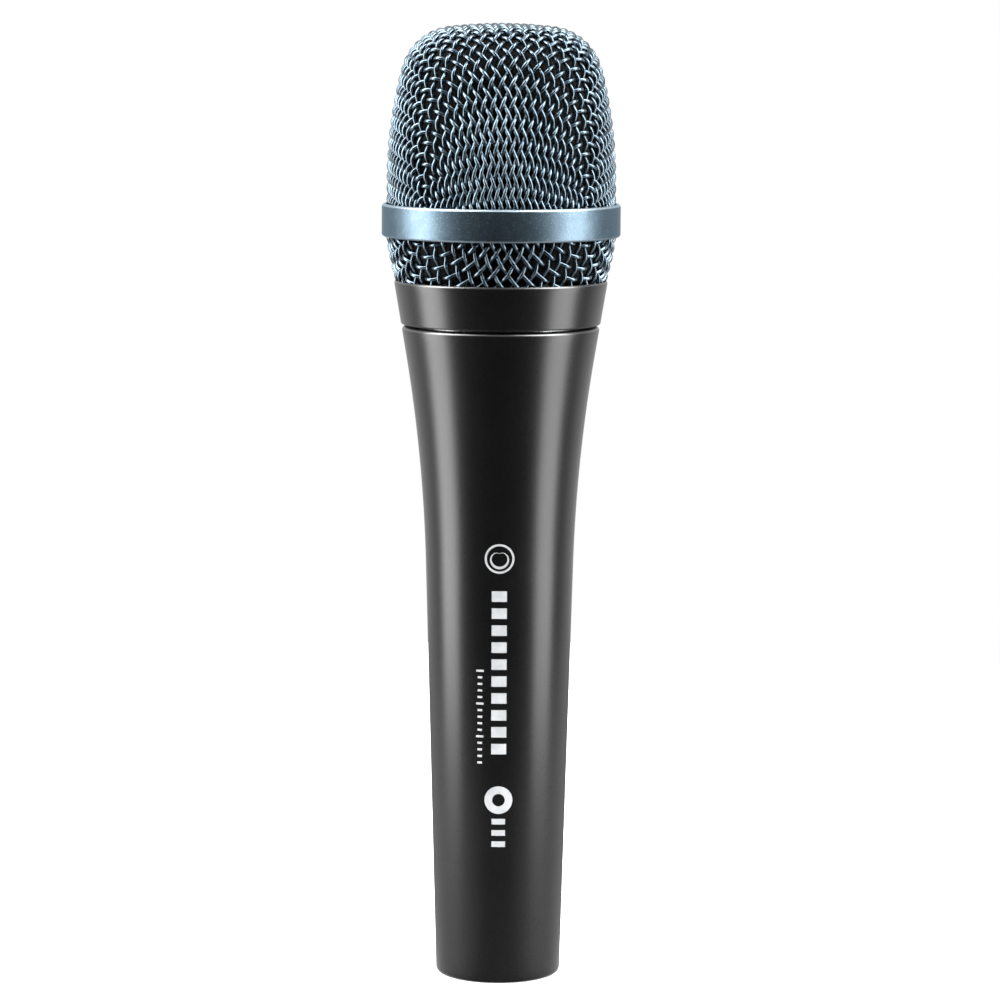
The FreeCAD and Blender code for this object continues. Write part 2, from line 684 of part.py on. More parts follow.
def diaphragm_dome():
    """Thin dome with a flat flange, seated on the coil's top."""
    flange_r = COIL_OUTER_RADIUS + 0.35
    dome_r = COIL_INNER_RADIUS
    sphere_r = (dome_r**2 + DOME_RISE**2) / (2 * DOME_RISE)
    center = (0.0, COIL_TOP_Z + DOME_RISE - sphere_r)
    edge_angle = math.atan2(COIL_TOP_Z - center[1], dome_r)
    outer_r = sphere_r + DIAPHRAGM_THICKNESS
    outer_edge_angle = math.asin((COIL_TOP_Z + DIAPHRAGM_THICKNESS - center[1]) / outer_r)
    edges = [arc_edge(center, sphere_r, math.pi / 2, edge_angle)]
    edges += line_edges([
        (dome_r, COIL_TOP_Z),
        (flange_r, COIL_TOP_Z),
        (flange_r, COIL_TOP_Z + DIAPHRAGM_THICKNESS),
        (outer_r * math.cos(outer_edge_angle), COIL_TOP_Z + DIAPHRAGM_THICKNESS),
    ])
    edges.append(arc_edge(center, outer_r, outer_edge_angle, math.pi / 2))
    edges += line_edges([(0, center[1] + outer_r), (0, center[1] + sphere_r)])
    return turn(edges)


def surround():
    """Compliant roll between the dome's flange and the shell's rim."""
    inner = COIL_OUTER_RADIUS + 0.4
    rim = CAPSULE_RADIUS - CAPSULE_WALL
    low_z = CAPSULE_TOP_Z + PRESS_GAP
    high_z = low_z + DIAPHRAGM_THICKNESS
    rise = 0.7
    edges = [bow_edge((inner, low_z), (rim, low_z), rise)]
    edges += line_edges([
        (rim, low_z),
        (SURROUND_OUTER_RADIUS, low_z),
        (SURROUND_OUTER_RADIUS, high_z),
        (rim, high_z),
    ])
    edges.append(bow_edge((rim, high_z), (inner, high_z), rise))
    edges += line_edges([(inner, high_z), (inner, low_z)])
    return turn(edges)


PIECES = {
    "handle_shell": handle_shell,
    "thread_ring": thread_ring,
    "retaining_ring": retaining_ring,
    "shock_mount": shock_mount,
    "shock_ring": shock_ring,
    "xlr_insert": xlr_insert,
    "ground_tab": ground_tab,
    "lock_screw": lock_screw,
    "transformer_can": transformer_can,
    "transformer_sleeve": transformer_sleeve,
    "lead_hot_lower": lambda: lower_lead("xlr_pin_2", 1),
    "lead_cold_lower": lambda: lower_lead("xlr_pin_3", -1),
    "lead_hot_upper": lambda: upper_lead(1),
    "lead_cold_upper": lambda: upper_lead(-1),
    "head_collar": head_collar,
    "lower_basket": lower_basket,
    "head_band": head_band,
    "upper_basket": upper_basket,
    "upper_foam": upper_foam,
    "lower_foam": lower_foam,
    "neck_washer": neck_washer,
    "capsule_shell": capsule_shell,
    "capsule_cap": capsule_cap,
    "dust_cloth": dust_cloth,
    "resistance_felt": resistance_felt,
    "pole_yoke": pole_yoke,
    "magnet": magnet,
    "pole_piece": pole_piece,
    "hum_coil": hum_coil,
    "terminal_board": terminal_board,
    "surround": surround,
    "voice_coil": voice_coil,
    "diaphragm_dome": diaphragm_dome,
}


def main():
    os.makedirs("parts", exist_ok=True)
    shapes = {name: make() for name, make in PIECES.items()}
    for name, angle in PIN_ANGLES.items():
        shapes[name] = xlr_pin(angle)
    for name, shape in shapes.items():
        print(f"{name}: valid {shape.isValid()}, {len(shape.Solids)} solid, {shape.Volume:.1f} mm3")
        shape.exportStep(f"parts/{name}.step")


main()
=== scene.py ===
import json
import math
import bpy
import bmesh
import numpy as np
from mathutils import Matrix, Vector, noise as fieldNoise


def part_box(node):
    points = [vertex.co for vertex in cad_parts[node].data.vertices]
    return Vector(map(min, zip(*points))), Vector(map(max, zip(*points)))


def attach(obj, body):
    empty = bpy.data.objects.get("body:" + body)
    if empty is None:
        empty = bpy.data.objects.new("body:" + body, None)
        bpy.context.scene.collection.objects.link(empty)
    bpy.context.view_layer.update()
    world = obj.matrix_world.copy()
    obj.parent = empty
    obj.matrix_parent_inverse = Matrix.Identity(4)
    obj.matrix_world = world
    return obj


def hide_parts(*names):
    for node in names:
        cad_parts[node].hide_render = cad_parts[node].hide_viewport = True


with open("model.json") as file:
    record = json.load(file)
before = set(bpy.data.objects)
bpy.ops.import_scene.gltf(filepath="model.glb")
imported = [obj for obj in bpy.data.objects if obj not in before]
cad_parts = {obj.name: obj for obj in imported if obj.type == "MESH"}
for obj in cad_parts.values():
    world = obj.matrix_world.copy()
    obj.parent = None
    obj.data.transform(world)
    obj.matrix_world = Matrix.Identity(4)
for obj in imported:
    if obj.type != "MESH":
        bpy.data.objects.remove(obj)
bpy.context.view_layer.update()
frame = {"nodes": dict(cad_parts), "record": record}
mm = 0.001
weldGap = 0.002 * mm
print("frame loaded:", len(frame["nodes"]), "nodes")


def newPiece(name, bm, body, replaced=(), sharpAngle=30.0):
    mesh = bpy.data.meshes.new(name)
    bm.to_mesh(mesh)
    bm.free()
    piece = bpy.data.objects.new(name, mesh)
    bpy.context.scene.collection.objects.link(piece)
    mesh.shade_smooth()
    mesh.set_sharp_from_angle(angle=math.radians(sharpAngle))
    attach(piece, body)
    if replaced:
        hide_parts(*replaced)
    return piece


def arcPoints(center, radius, startDeg, endDeg, count):  # (r, z) points along an arc
    points = []
    for step in range(count + 1):
        angle = math.radians(startDeg + (endDeg - startDeg) * step / count)
        points.append((center[0] + radius * math.cos(angle), center[1] + radius * math.sin(angle)))
    return points


def lathe(points, steps):  # turns a closed (r, z) outline once about Z
    bm = bmesh.new()
    verts = [bm.verts.new((r, 0.0, z)) for r, z in points]
    edges = [bm.edges.new(pair) for pair in zip(verts, verts[1:] + verts[:1])]
    bmesh.ops.spin(bm, geom=verts + edges, cent=(0, 0, 0), axis=(0, 0, 1), dvec=(0, 0, 0),
                   angle=2 * math.pi, steps=steps, use_merge=True, use_duplicate=False)
    bmesh.ops.remove_doubles(bm, verts=bm.verts, dist=weldGap)
    bmesh.ops.recalc_face_normals(bm, faces=bm.faces)
    return bm


threadLook = dict(rise=0.03, crestLow=0.40, crestHigh=0.56, fall=0.93, stepsPerTurn=72)  # shares of a pitch


def addThread(bm, wall, crest, lowZ, pitch, turns):  # one helical ridge standing on a wall radius
    look = threadLook
    stepsPerTurn = look["stepsPerTurn"]
    section = [(wall, look["rise"]), (crest, look["crestLow"]),
               (crest, look["crestHigh"]), (wall, look["fall"])]
    ridge = bm.faces.new([bm.verts.new((r, 0.0, lowZ + share * pitch)) for r, share in section])
    steps = int(turns * stepsPerTurn)
    bmesh.ops.spin(bm, geom=[ridge] + ridge.verts[:] + ridge.edges[:], cent=(0, 0, 0), axis=(0, 0, 1),
                   dvec=(0, 0, pitch / stepsPerTurn), angle=2 * math.pi * turns, steps=steps,
                   use_merge=False, use_duplicate=False)
    bmesh.ops.holes_fill(bm, edges=bm.edges, sides=4)
    bmesh.ops.recalc_face_normals(bm, faces=bm.faces)


def roughen(bm, amount, size):  # pulls a soft surface in a little, unevenly
    for vert in bm.verts:
        share = 0.5 + 0.5 * fieldNoise.noise(vert.co / size)
        vert.co -= vert.normal * amount * share


def newMaterial(name):
    material = bpy.data.materials.new(name)
    material.use_nodes = True
    nodes = material.node_tree.nodes
    return material, nodes, material.node_tree.links, nodes["Principled BSDF"]


def objectCoords(nodes, links, scale):
    coords = nodes.new("ShaderNodeTexCoord")
    mapping = nodes.new("ShaderNodeMapping")
    mapping.inputs["Scale"].default_value = scale
    links.new(coords.outputs["Object"], mapping.inputs["Vector"])
    return mapping.outputs["Vector"]


def noise(nodes, links, vector, scale, detail=3.0):
    texture = nodes.new("ShaderNodeTexNoise")
    texture.inputs["Scale"].default_value = scale
    texture.inputs["Detail"].default_value = detail
    texture.inputs["Roughness"].default_value = 0.5
    links.new(vector, texture.inputs["Vector"])
    return texture.outputs["Fac"]


def mapRange(nodes, links, value, low, high, toLow, toHigh):
    node = nodes.new("ShaderNodeMapRange")
    node.inputs["From Min"].default_value = low
    node.inputs["From Max"].default_value = high
    node.inputs["To Min"].default_value = toLow
    node.inputs["To Max"].default_value = toHigh
    links.new(value, node.inputs["Value"])
    return node.outputs["Result"]


def mixColor(nodes, links, factor, first, second):
    node = nodes.new("ShaderNodeMix")
    node.data_type = "RGBA"
    colors = [socket for socket in node.inputs if socket.type == "RGBA"]
    for socket, value in zip(colors, (first, second)):
        if isinstance(value, bpy.types.NodeSocket):
            links.new(value, socket)
        else:
            socket.default_value = (*value, 1.0)
    links.new(factor, node.inputs["Factor"])
    return [socket for socket in node.outputs if socket.type == "RGBA"][0]


def addBump(nodes, links, shader, height, strength, distance):
    bump = nodes.new("ShaderNodeBump")
    bump.inputs["Strength"].default_value = strength
    bump.inputs["Distance"].default_value = distance
    links.new(height, bump.inputs["Height"])
    links.new(bump.outputs["Normal"], shader.inputs["Normal"])


def rimMask(nodes, links, vector, width, node):  # 1 at a ring's top rim, half that at its bottom rim; it places the painted rim highlight
    low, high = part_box(node)
    split = nodes.new("ShaderNodeSeparateXYZ")
    links.new(vector, split.inputs["Vector"])
    height = split.outputs["Z"]
    top = mapRange(nodes, links, height, high.z - width, high.z - width / 2, 0.0, 1.0)
    bottom = mapRange(nodes, links, height, low.z + width / 2, low.z + width, 0.5, 0.0)
    both = nodes.new("ShaderNodeMath")
    both.operation = "MAXIMUM"
    links.new(top, both.inputs[0])
    links.new(bottom, both.inputs[1])
    return both.outputs["Value"]


def grainMaterial(name, look):  # a colour that drifts, a fine grain, and a roughness that follows it
    material, nodes, links, shader = newMaterial(name)
    vector = objectCoords(nodes, links, look.get("stretch", (1, 1, 1)))
    drift = noise(nodes, links, vector, look["driftScale"])
    grain = noise(nodes, links, vector, look["grainScale"], detail=2.0)
    factor = mapRange(nodes, links, drift, 0.35, 0.65, 0.0, 1.0)
    color = mixColor(nodes, links, factor, look["dark"], look["light"])
    if "speck" in look:  # scattered brighter grains
        specks = mapRange(nodes, links, grain, look["speckFrom"], look["speckFull"], 0.0, 1.0)
        color = mixColor(nodes, links, specks, color, look["speck"])
    if "paintedRimHighlight" in look:  # painted highlight: a paler colour along the two rims, full at the top rim and half at the bottom, standing in for light caught by the rounded edges
        rims = rimMask(nodes, links, vector, look["paintedRimHighlightWidth"], look["node"])
        color = mixColor(nodes, links, rims, color, look["paintedRimHighlight"])
    links.new(color, shader.inputs["Base Color"])
    roughness = mapRange(nodes, links, grain, 0.3, 0.7, look["smooth"], look["rough"])
    links.new(roughness, shader.inputs["Roughness"])
    if "edgeIor" in look:  # rounded upper edges, polished by handling, reflect more
        split = nodes.new("ShaderNodeSeparateXYZ")
        links.new(nodes.new("ShaderNodeTexCoord").outputs["Normal"], split.inputs["Vector"])
        wallIor = shader.inputs["IOR"].default_value
        polish = mapRange(nodes, links, split.outputs["Z"], 0.12, 0.35, wallIor, look["edgeIor"])
        links.new(polish, shader.inputs["IOR"])
    shader.inputs["Metallic"].default_value = look.get("metallic", 0.0)
    shader.inputs["Specular IOR Level"].default_value = look.get("specular", 0.5)
    shader.inputs["Specular Tint"].default_value = (*look.get("edgeTint", (1.0, 1.0, 1.0)), 1.0)
    shader.inputs["Transmission Weight"].default_value = look.get("clear", 0.0)
    shader.inputs["Coat Weight"].default_value = look.get("coat", 0.0)
    shader.inputs["Coat Roughness"].default_value = look.get("coatRough", 0.3)
    height = grain
    if "rings" in look:  # turned or wound lines along Z
        wave = nodes.new("ShaderNodeTexWave")
        wave.bands_direction = "Z"
        wave.inputs["Scale"].default_value = look["rings"]
        wave.inputs["Distortion"].default_value = 0.4
        links.new(vector, wave.inputs["Vector"])
        height = wave.outputs["Fac"]
    addBump(nodes, links, shader, height, look["bump"], look["depth"])
    return material


cameraLook = dict(distance=0.822, height=0.1953, aimZ=0.0943, aimX=0.00003, lens=151.6, rollDeg=0.275)


def addCamera():
    camera = bpy.data.objects.new("camera", bpy.data.cameras.new("camera"))
    bpy.context.scene.collection.objects.link(camera)
    camera.data.lens = cameraLook["lens"]
    camera.data.sensor_width = 36.0
    camera.data.clip_start = 0.01
    camera.location = (cameraLook["aimX"], -cameraLook["distance"], cameraLook["height"])
    pitch = math.atan2(cameraLook["height"] - cameraLook["aimZ"], cameraLook["distance"])
    roll = Matrix.Rotation(math.radians(cameraLook["rollDeg"]), 4, "Z")
    camera.rotation_euler = (Matrix.Rotation(math.pi / 2 - pitch, 4, "X") @ roll).to_euler()
    bpy.context.scene.camera = camera


def addSoftbox(name, azimuthDeg, look):  # azimuth from -Y, positive towards +X
    light = bpy.data.lights.new(name, "AREA")
    light.shape = "RECTANGLE"
    light.size, light.size_y = look["size"]
    light.energy = look["power"]
    box = bpy.data.objects.new(name, light)
    azimuth = math.radians(azimuthDeg)
    across, ahead = look["distance"] * math.sin(azimuth), look["distance"] * math.cos(azimuth)
    box.location = (across, -ahead, look["height"])
    towards = Vector((0, 0, look["aimZ"])) - box.location
    towards.z *= look["tilt"]
    box.rotation_euler = towards.to_track_quat("-Z", "Y").to_euler()
    box.visible_camera = False
    bpy.context.scene.collection.objects.link(box)


worldLook = dict(front=0.02, behind=0.85, overhead=0.8)


def addWorld():  # white behind and overhead, dark in front
    world = bpy.data.worlds.new("studio")
    world.use_nodes = True
    nodes, links = world.node_tree.nodes, world.node_tree.links
    coords = nodes.new("ShaderNodeTexCoord")
    split = nodes.new("ShaderNodeSeparateXYZ")
    links.new(coords.outputs["Generated"], split.inputs["Vector"])
    behind = mapRange(nodes, links, split.outputs["Y"], 0.25, 0.6, worldLook["front"], worldLook["behind"])
    overhead = mapRange(nodes, links, split.outputs["Z"], 0.5, 0.85, 0.0, worldLook["overhead"])
    brighter = nodes.new("ShaderNodeMath")
    brighter.operation = "MAXIMUM"
    links.new(behind, brighter.inputs[0])
    links.new(overhead, brighter.inputs[1])
    glow = brighter.outputs["Value"]
    path = nodes.new("ShaderNodeLightPath")
    mix = nodes.new("ShaderNodeMix")
    links.new(path.outputs["Is Camera Ray"], mix.inputs["Factor"])
    links.new(glow, mix.inputs["A"])
    mix.inputs["B"].default_value = 1.0
    links.new(mix.outputs["Result"], nodes["Background"].inputs["Color"])
    bpy.context.scene.world = world


floorLook = dict(radius=0.3, centerY=0.12, topZ=-0.02 * mm, seen=0.55, glossFront=0.2, glossSide=0.9)


def addFloor():  # white to the eye; in the object's gloss dim in front and brighter beside the softboxes
    bm = bmesh.new()
    bmesh.ops.create_circle(bm, cap_ends=True, cap_tris=False, segments=96, radius=floorLook["radius"],
                            matrix=Matrix.Translation((0, floorLook["centerY"], floorLook["topZ"])))
    mesh = bpy.data.meshes.new("floor")
    bm.to_mesh(mesh)
    bm.free()
    floor = bpy.data.objects.new("floor", mesh)
    bpy.context.scene.collection.objects.link(floor)
    material, nodes, links, shader = newMaterial("floorWhite")
    shader.inputs["Roughness"].default_value = 0.9
    shader.inputs["Emission Color"].default_value = (1, 1, 1, 1)
    path = nodes.new("ShaderNodeLightPath")
    bearing = nodes.new("ShaderNodeVectorMath")
    bearing.operation = "NORMALIZE"
    links.new(objectCoords(nodes, links, (1, 1, 1)), bearing.inputs[0])
    split = nodes.new("ShaderNodeSeparateXYZ")
    links.new(bearing.outputs["Vector"], split.inputs["Vector"])
    sideways = nodes.new("ShaderNodeMath")
    sideways.operation = "ABSOLUTE"
    links.new(split.outputs["X"], sideways.inputs[0])
    gloss = mapRange(nodes, links, sideways.outputs["Value"], 0.35, 0.95,
                     floorLook["glossFront"], floorLook["glossSide"])
    glow = nodes.new("ShaderNodeMix")
    glow.inputs["A"].default_value = floorLook["seen"]
    links.new(gloss, glow.inputs["B"])
    links.new(path.outputs["Is Glossy Ray"], glow.inputs["Factor"])
    links.new(glow.outputs["Result"], shader.inputs["Emission Strength"])
    links.new(mixColor(nodes, links, path.outputs["Is Glossy Ray"], (0.9, 0.9, 0.9), (0, 0, 0)),
              shader.inputs["Base Color"])
    floor.data.materials.append(material)


addCamera()
softbox = dict(distance=1.1, size=(0.62, 1.3), height=0.12, aimZ=0.1, tilt=0.3, power=23.0)
rimLight = dict(distance=0.62, size=(0.6, 0.7), height=0.85, aimZ=0.1, tilt=1.0, power=16.0)  # on the rims
addSoftbox("softboxLeft", -84, softbox)
addSoftbox("softboxRight", 74.5, dict(softbox, power=19.5))
addSoftbox("rimLightLeft", -80, rimLight)
addSoftbox("rimLightRight", 70, rimLight)
addWorld()
addFloor()
bpy.context.scene.view_settings.view_transform = "Standard"
print("camera and studio set")

finishes = {
    "black_lacquer": dict(dark=(0.0018, 0.0018, 0.0019), light=(0.0030, 0.0030, 0.0032), driftScale=60.0,
                          grainScale=5200.0, smooth=0.27, rough=0.33, edgeIor=2.1, bump=0.12,
                          depth=0.01 * mm),
    # the band's pale rim colour is a painted highlight along its rounded top and bottom edges, full at the
    # top and half at the bottom
    "blue_grey_band": dict(dark=(0.068, 0.110, 0.143), light=(0.089, 0.138, 0.178), driftScale=300.0,
                           grainScale=3600.0, smooth=0.35, rough=0.43, metallic=1.0, bump=0.6,
                           depth=0.03 * mm, speck=(0.15, 0.215, 0.262), speckFrom=0.56, speckFull=0.68,
                           coat=0.6, coatRough=0.37, edgeTint=(0.22, 0.36, 0.46), paintedRimHighlight=(0.46, 0.54, 0.60),
                           paintedRimHighlightWidth=0.5 * mm, node="head_band"),
    "grille_wire": dict(dark=(0.062, 0.101, 0.132), light=(0.108, 0.160, 0.198), driftScale=260.0,
                        grainScale=2400.0, smooth=0.24, rough=0.34, metallic=1.0, coat=0.9,
                        coatRough=0.16, bump=0.15, depth=0.02 * mm),
    "black_foam": dict(dark=(0.002, 0.0022, 0.0024), light=(0.007, 0.0075, 0.008), driftScale=900.0,
                       grainScale=1500.0, smooth=0.8, rough=1.0, specular=0.2, bump=0.8, depth=0.3 * mm),
    "neck_metal": dict(dark=(0.50, 0.50, 0.51), light=(0.62, 0.62, 0.63), driftScale=120.0,
                       grainScale=2600.0, stretch=(1, 1, 5), smooth=0.22, rough=0.38, metallic=1.0,
                       bump=0.2, depth=0.01 * mm),
    "black_plastic": dict(dark=(0.010, 0.010, 0.011), light=(0.017, 0.017, 0.018), driftScale=160.0,
                          grainScale=2200.0, smooth=0.42, rough=0.58, bump=0.3, depth=0.02 * mm),
    "grey_plastic": dict(dark=(0.20, 0.20, 0.21), light=(0.26, 0.26, 0.27), driftScale=160.0,
                         grainScale=2400.0, smooth=0.4, rough=0.55, bump=0.3, depth=0.02 * mm),
    "black_rubber": dict(dark=(0.011, 0.011, 0.011), light=(0.022, 0.021, 0.021), driftScale=220.0,
                         grainScale=1800.0, smooth=0.62, rough=0.85, specular=0.35, bump=0.4,
                         depth=0.04 * mm),
    "plated_contact": dict(dark=(0.66, 0.65, 0.62), light=(0.80, 0.79, 0.76), driftScale=500.0,
                           grainScale=3800.0, smooth=0.14, rough=0.26, metallic=1.0, bump=0.15,
                           depth=0.008 * mm),
    "spring_brass": dict(dark=(0.58, 0.42, 0.17), light=(0.76, 0.58, 0.27), driftScale=400.0,
                         grainScale=3000.0, stretch=(6, 1, 1), smooth=0.24, rough=0.42, metallic=1.0,
                         bump=0.2, depth=0.01 * mm),
    "screw_steel": dict(dark=(0.24, 0.24, 0.25), light=(0.36, 0.36, 0.37), driftScale=600.0,
                        grainScale=4200.0, smooth=0.28, rough=0.42, metallic=1.0, bump=0.25,
                        depth=0.01 * mm),
    "transformer_steel": dict(dark=(0.42, 0.41, 0.39), light=(0.58, 0.57, 0.55), driftScale=90.0,
                              grainScale=2600.0, stretch=(1, 1, 8), smooth=0.26, rough=0.44, metallic=1.0,
                              bump=0.2, depth=0.015 * mm),
    "grey_foam": dict(dark=(0.10, 0.10, 0.105), light=(0.20, 0.20, 0.205), driftScale=1100.0,
                      grainScale=1500.0, smooth=0.85, rough=1.0, specular=0.2, bump=0.9, depth=0.3 * mm),
    "yellow_insulation": dict(dark=(0.62, 0.46, 0.04), light=(0.74, 0.57, 0.07), driftScale=260.0,
                              grainScale=2400.0, smooth=0.35, rough=0.5, bump=0.2, depth=0.01 * mm),
    "green_insulation": dict(dark=(0.03, 0.22, 0.07), light=(0.05, 0.30, 0.10), driftScale=260.0,
                             grainScale=2400.0, smooth=0.35, rough=0.5, bump=0.2, depth=0.01 * mm),
    "felt": dict(dark=(0.16, 0.15, 0.14), light=(0.27, 0.26, 0.24), driftScale=1500.0, grainScale=2600.0,
                 stretch=(1, 1, 3), smooth=0.9, rough=1.0, specular=0.15, bump=0.8, depth=0.12 * mm),
    "soft_iron": dict(dark=(0.30, 0.29, 0.28), light=(0.42, 0.41, 0.40), driftScale=150.0,
                      grainScale=2800.0, smooth=0.32, rough=0.5, metallic=1.0, bump=0.25,
                      depth=0.015 * mm),
    "magnet_metal": dict(dark=(0.50, 0.49, 0.46), light=(0.64, 0.63, 0.60), driftScale=220.0,
                         grainScale=3000.0, smooth=0.16, rough=0.32, metallic=1.0, bump=0.2,
                         depth=0.012 * mm),
    "copper_winding": dict(dark=(0.44, 0.15, 0.06), light=(0.66, 0.27, 0.12), driftScale=700.0,
                           grainScale=3200.0, smooth=0.22, rough=0.36, metallic=1.0, rings=1700.0,
                           bump=0.7, depth=0.05 * mm),
    "board_laminate": dict(dark=(0.20, 0.10, 0.035), light=(0.30, 0.16, 0.06), driftScale=320.0,
                           grainScale=2600.0, stretch=(4, 1, 1), smooth=0.4, rough=0.56, bump=0.25,
                           depth=0.02 * mm),
    "clear_film": dict(dark=(0.70, 0.72, 0.72), light=(0.82, 0.84, 0.84), driftScale=300.0,
                       grainScale=1400.0, smooth=0.08, rough=0.2, clear=0.7, bump=0.2, depth=0.01 * mm),
    "pale_ink": dict(dark=(0.36, 0.37, 0.38), light=(0.43, 0.44, 0.45), driftScale=500.0,
                     grainScale=3600.0, smooth=0.5, rough=0.66, bump=0.2, depth=0.006 * mm),
}


clothFinish = dict(threadScale=900.0, wobble=0.3, gap=(0.004, 0.004, 0.004), thread=(0.035, 0.035, 0.037),
                   driftScale=700.0, smooth=0.7, rough=0.9, sheen=0.3, bump=0.8, depth=0.06 * mm)


def clothMaterial(name, look):  # plain weave of fine threads crossing at right angles
    material, nodes, links, shader = newMaterial(name)
    vector = objectCoords(nodes, links, (1, 1, 1))
    threads = []
    for direction in ("X", "Y"):
        wave = nodes.new("ShaderNodeTexWave")
        wave.bands_direction = direction
        wave.inputs["Scale"].default_value = look["threadScale"]
        wave.inputs["Distortion"].default_value = look["wobble"]
        links.new(vector, wave.inputs["Vector"])
        threads.append(wave.outputs["Fac"])
    crossing = nodes.new("ShaderNodeMath")
    crossing.operation = "MAXIMUM"
    for socket, thread in zip(crossing.inputs, threads):
        links.new(thread, socket)
    height = crossing.outputs["Value"]
    links.new(mixColor(nodes, links, height, look["gap"], look["thread"]), shader.inputs["Base Color"])
    drift = noise(nodes, links, vector, look["driftScale"])
    roughness = mapRange(nodes, links, drift, 0.3, 0.7, look["smooth"], look["rough"])
    links.new(roughness, shader.inputs["Roughness"])
    shader.inputs["Sheen Weight"].default_value = look["sheen"]
    addBump(nodes, links, shader, height, look["bump"], look["depth"])
    return material


materials = {name: grainMaterial(name, look) for name, look in finishes.items()}
materials["acoustic_cloth"] = clothMaterial("acoustic_cloth", clothFinish)
for part in frame["record"]["subparts"]:
    frame["nodes"][part["node"]].data.materials[0] = materials[part["material_slot"]]
print("finishes made:", len(materials))

# The grille is a square net of wires pressed over a bowl. Depth z runs from the bowl's pole, and the net is
# relaxed on the bowl's wall: wires keep their pitch and stay smooth, meshes resist shear a little, and the
# wires lock before a mesh folds shut.
meshLook = dict(wire=0.76 * mm, pitch=2.34 * mm, lock=1.52 * mm, stiffness=0.9, shear=0.02, gain=1.2,
                passes=2000, turnDeg=-41.5, samples=5, reach=6 * mm)


def bowlShape(look, inset):
    side = math.radians(look["sideDeg"])
    sideX = look["rimRadius"] - look["sideRadius"] * math.cos(side)
    sideZ = look["rimDepth"] + look["sideRadius"] * math.sin(side)
    capReach = look["capRadius"] - look["shoulderRadius"]
    sideReach = look["sideRadius"] - look["shoulderRadius"]
    distance = math.hypot(sideX, look["capRadius"] - sideZ)
    bearing = math.atan2(sideZ - look["capRadius"], -sideX)
    cosine = (sideReach ** 2 + distance ** 2 - capReach ** 2) / (2 * sideReach * distance)
    sideTop = bearing + math.acos(cosine)
    shoulderX = sideX + sideReach * math.cos(sideTop)
    shoulderZ = sideZ - sideReach * math.sin(sideTop)
    capEdge = math.atan2(look["capRadius"] - shoulderZ, shoulderX)
    arcs = [(0.0, look["capRadius"], look["capRadius"] - inset),
            (shoulderX, shoulderZ, look["shoulderRadius"] - inset),
            (sideX, sideZ, look["sideRadius"] - inset)]
    return dict(arcs=arcs, capEdge=capEdge, sideTop=sideTop, sideEnd=side,
                rimDepth=look["rimDepth"], rimRadius=look["rimRadius"] - inset)


def bowlGap(bowl, points):  # each point's signed distance to the bowl's wall, and the way out of the wall
    r = np.maximum(np.hypot(points[..., 0], points[..., 1]), 1e-9)
    z = points[..., 2]
    shoulderX, shoulderZ, _ = bowl["arcs"][1]
    elevation = np.arctan2(shoulderZ - z, r - shoulderX)
    choice = np.where(elevation > bowl["capEdge"], 0, np.where(elevation < bowl["sideTop"], 2, 1))
    centerX, centerZ, radius = np.moveaxis(np.array(bowl["arcs"])[choice], -1, 0)
    length = np.hypot(r - centerX, z - centerZ)
    straight = z > bowl["rimDepth"]
    gap = np.where(straight, r - bowl["rimRadius"], length - radius)
    outR = np.where(straight, 1.0, (r - centerX) / length)
    outZ = np.where(straight, 0.0, (z - centerZ) / length)
    return gap, np.stack([points[..., 0] / r * outR, points[..., 1] / r * outR, outZ], -1)


def bowlProfile(bowl):  # (r, depth) from the pole to past the rim
    turns = [math.pi / 2, bowl["capEdge"], bowl["sideTop"], bowl["sideEnd"]]
    points = []
    for (centerX, centerZ, radius), start, end in zip(bowl["arcs"], turns, turns[1:]):
        for angle in np.linspace(start, end, 160):
            points.append((centerX + radius * math.cos(angle), centerZ - radius * math.sin(angle)))
    points.append((bowl["rimRadius"], bowl["rimDepth"] + 200 * mm))
    return np.array(points)


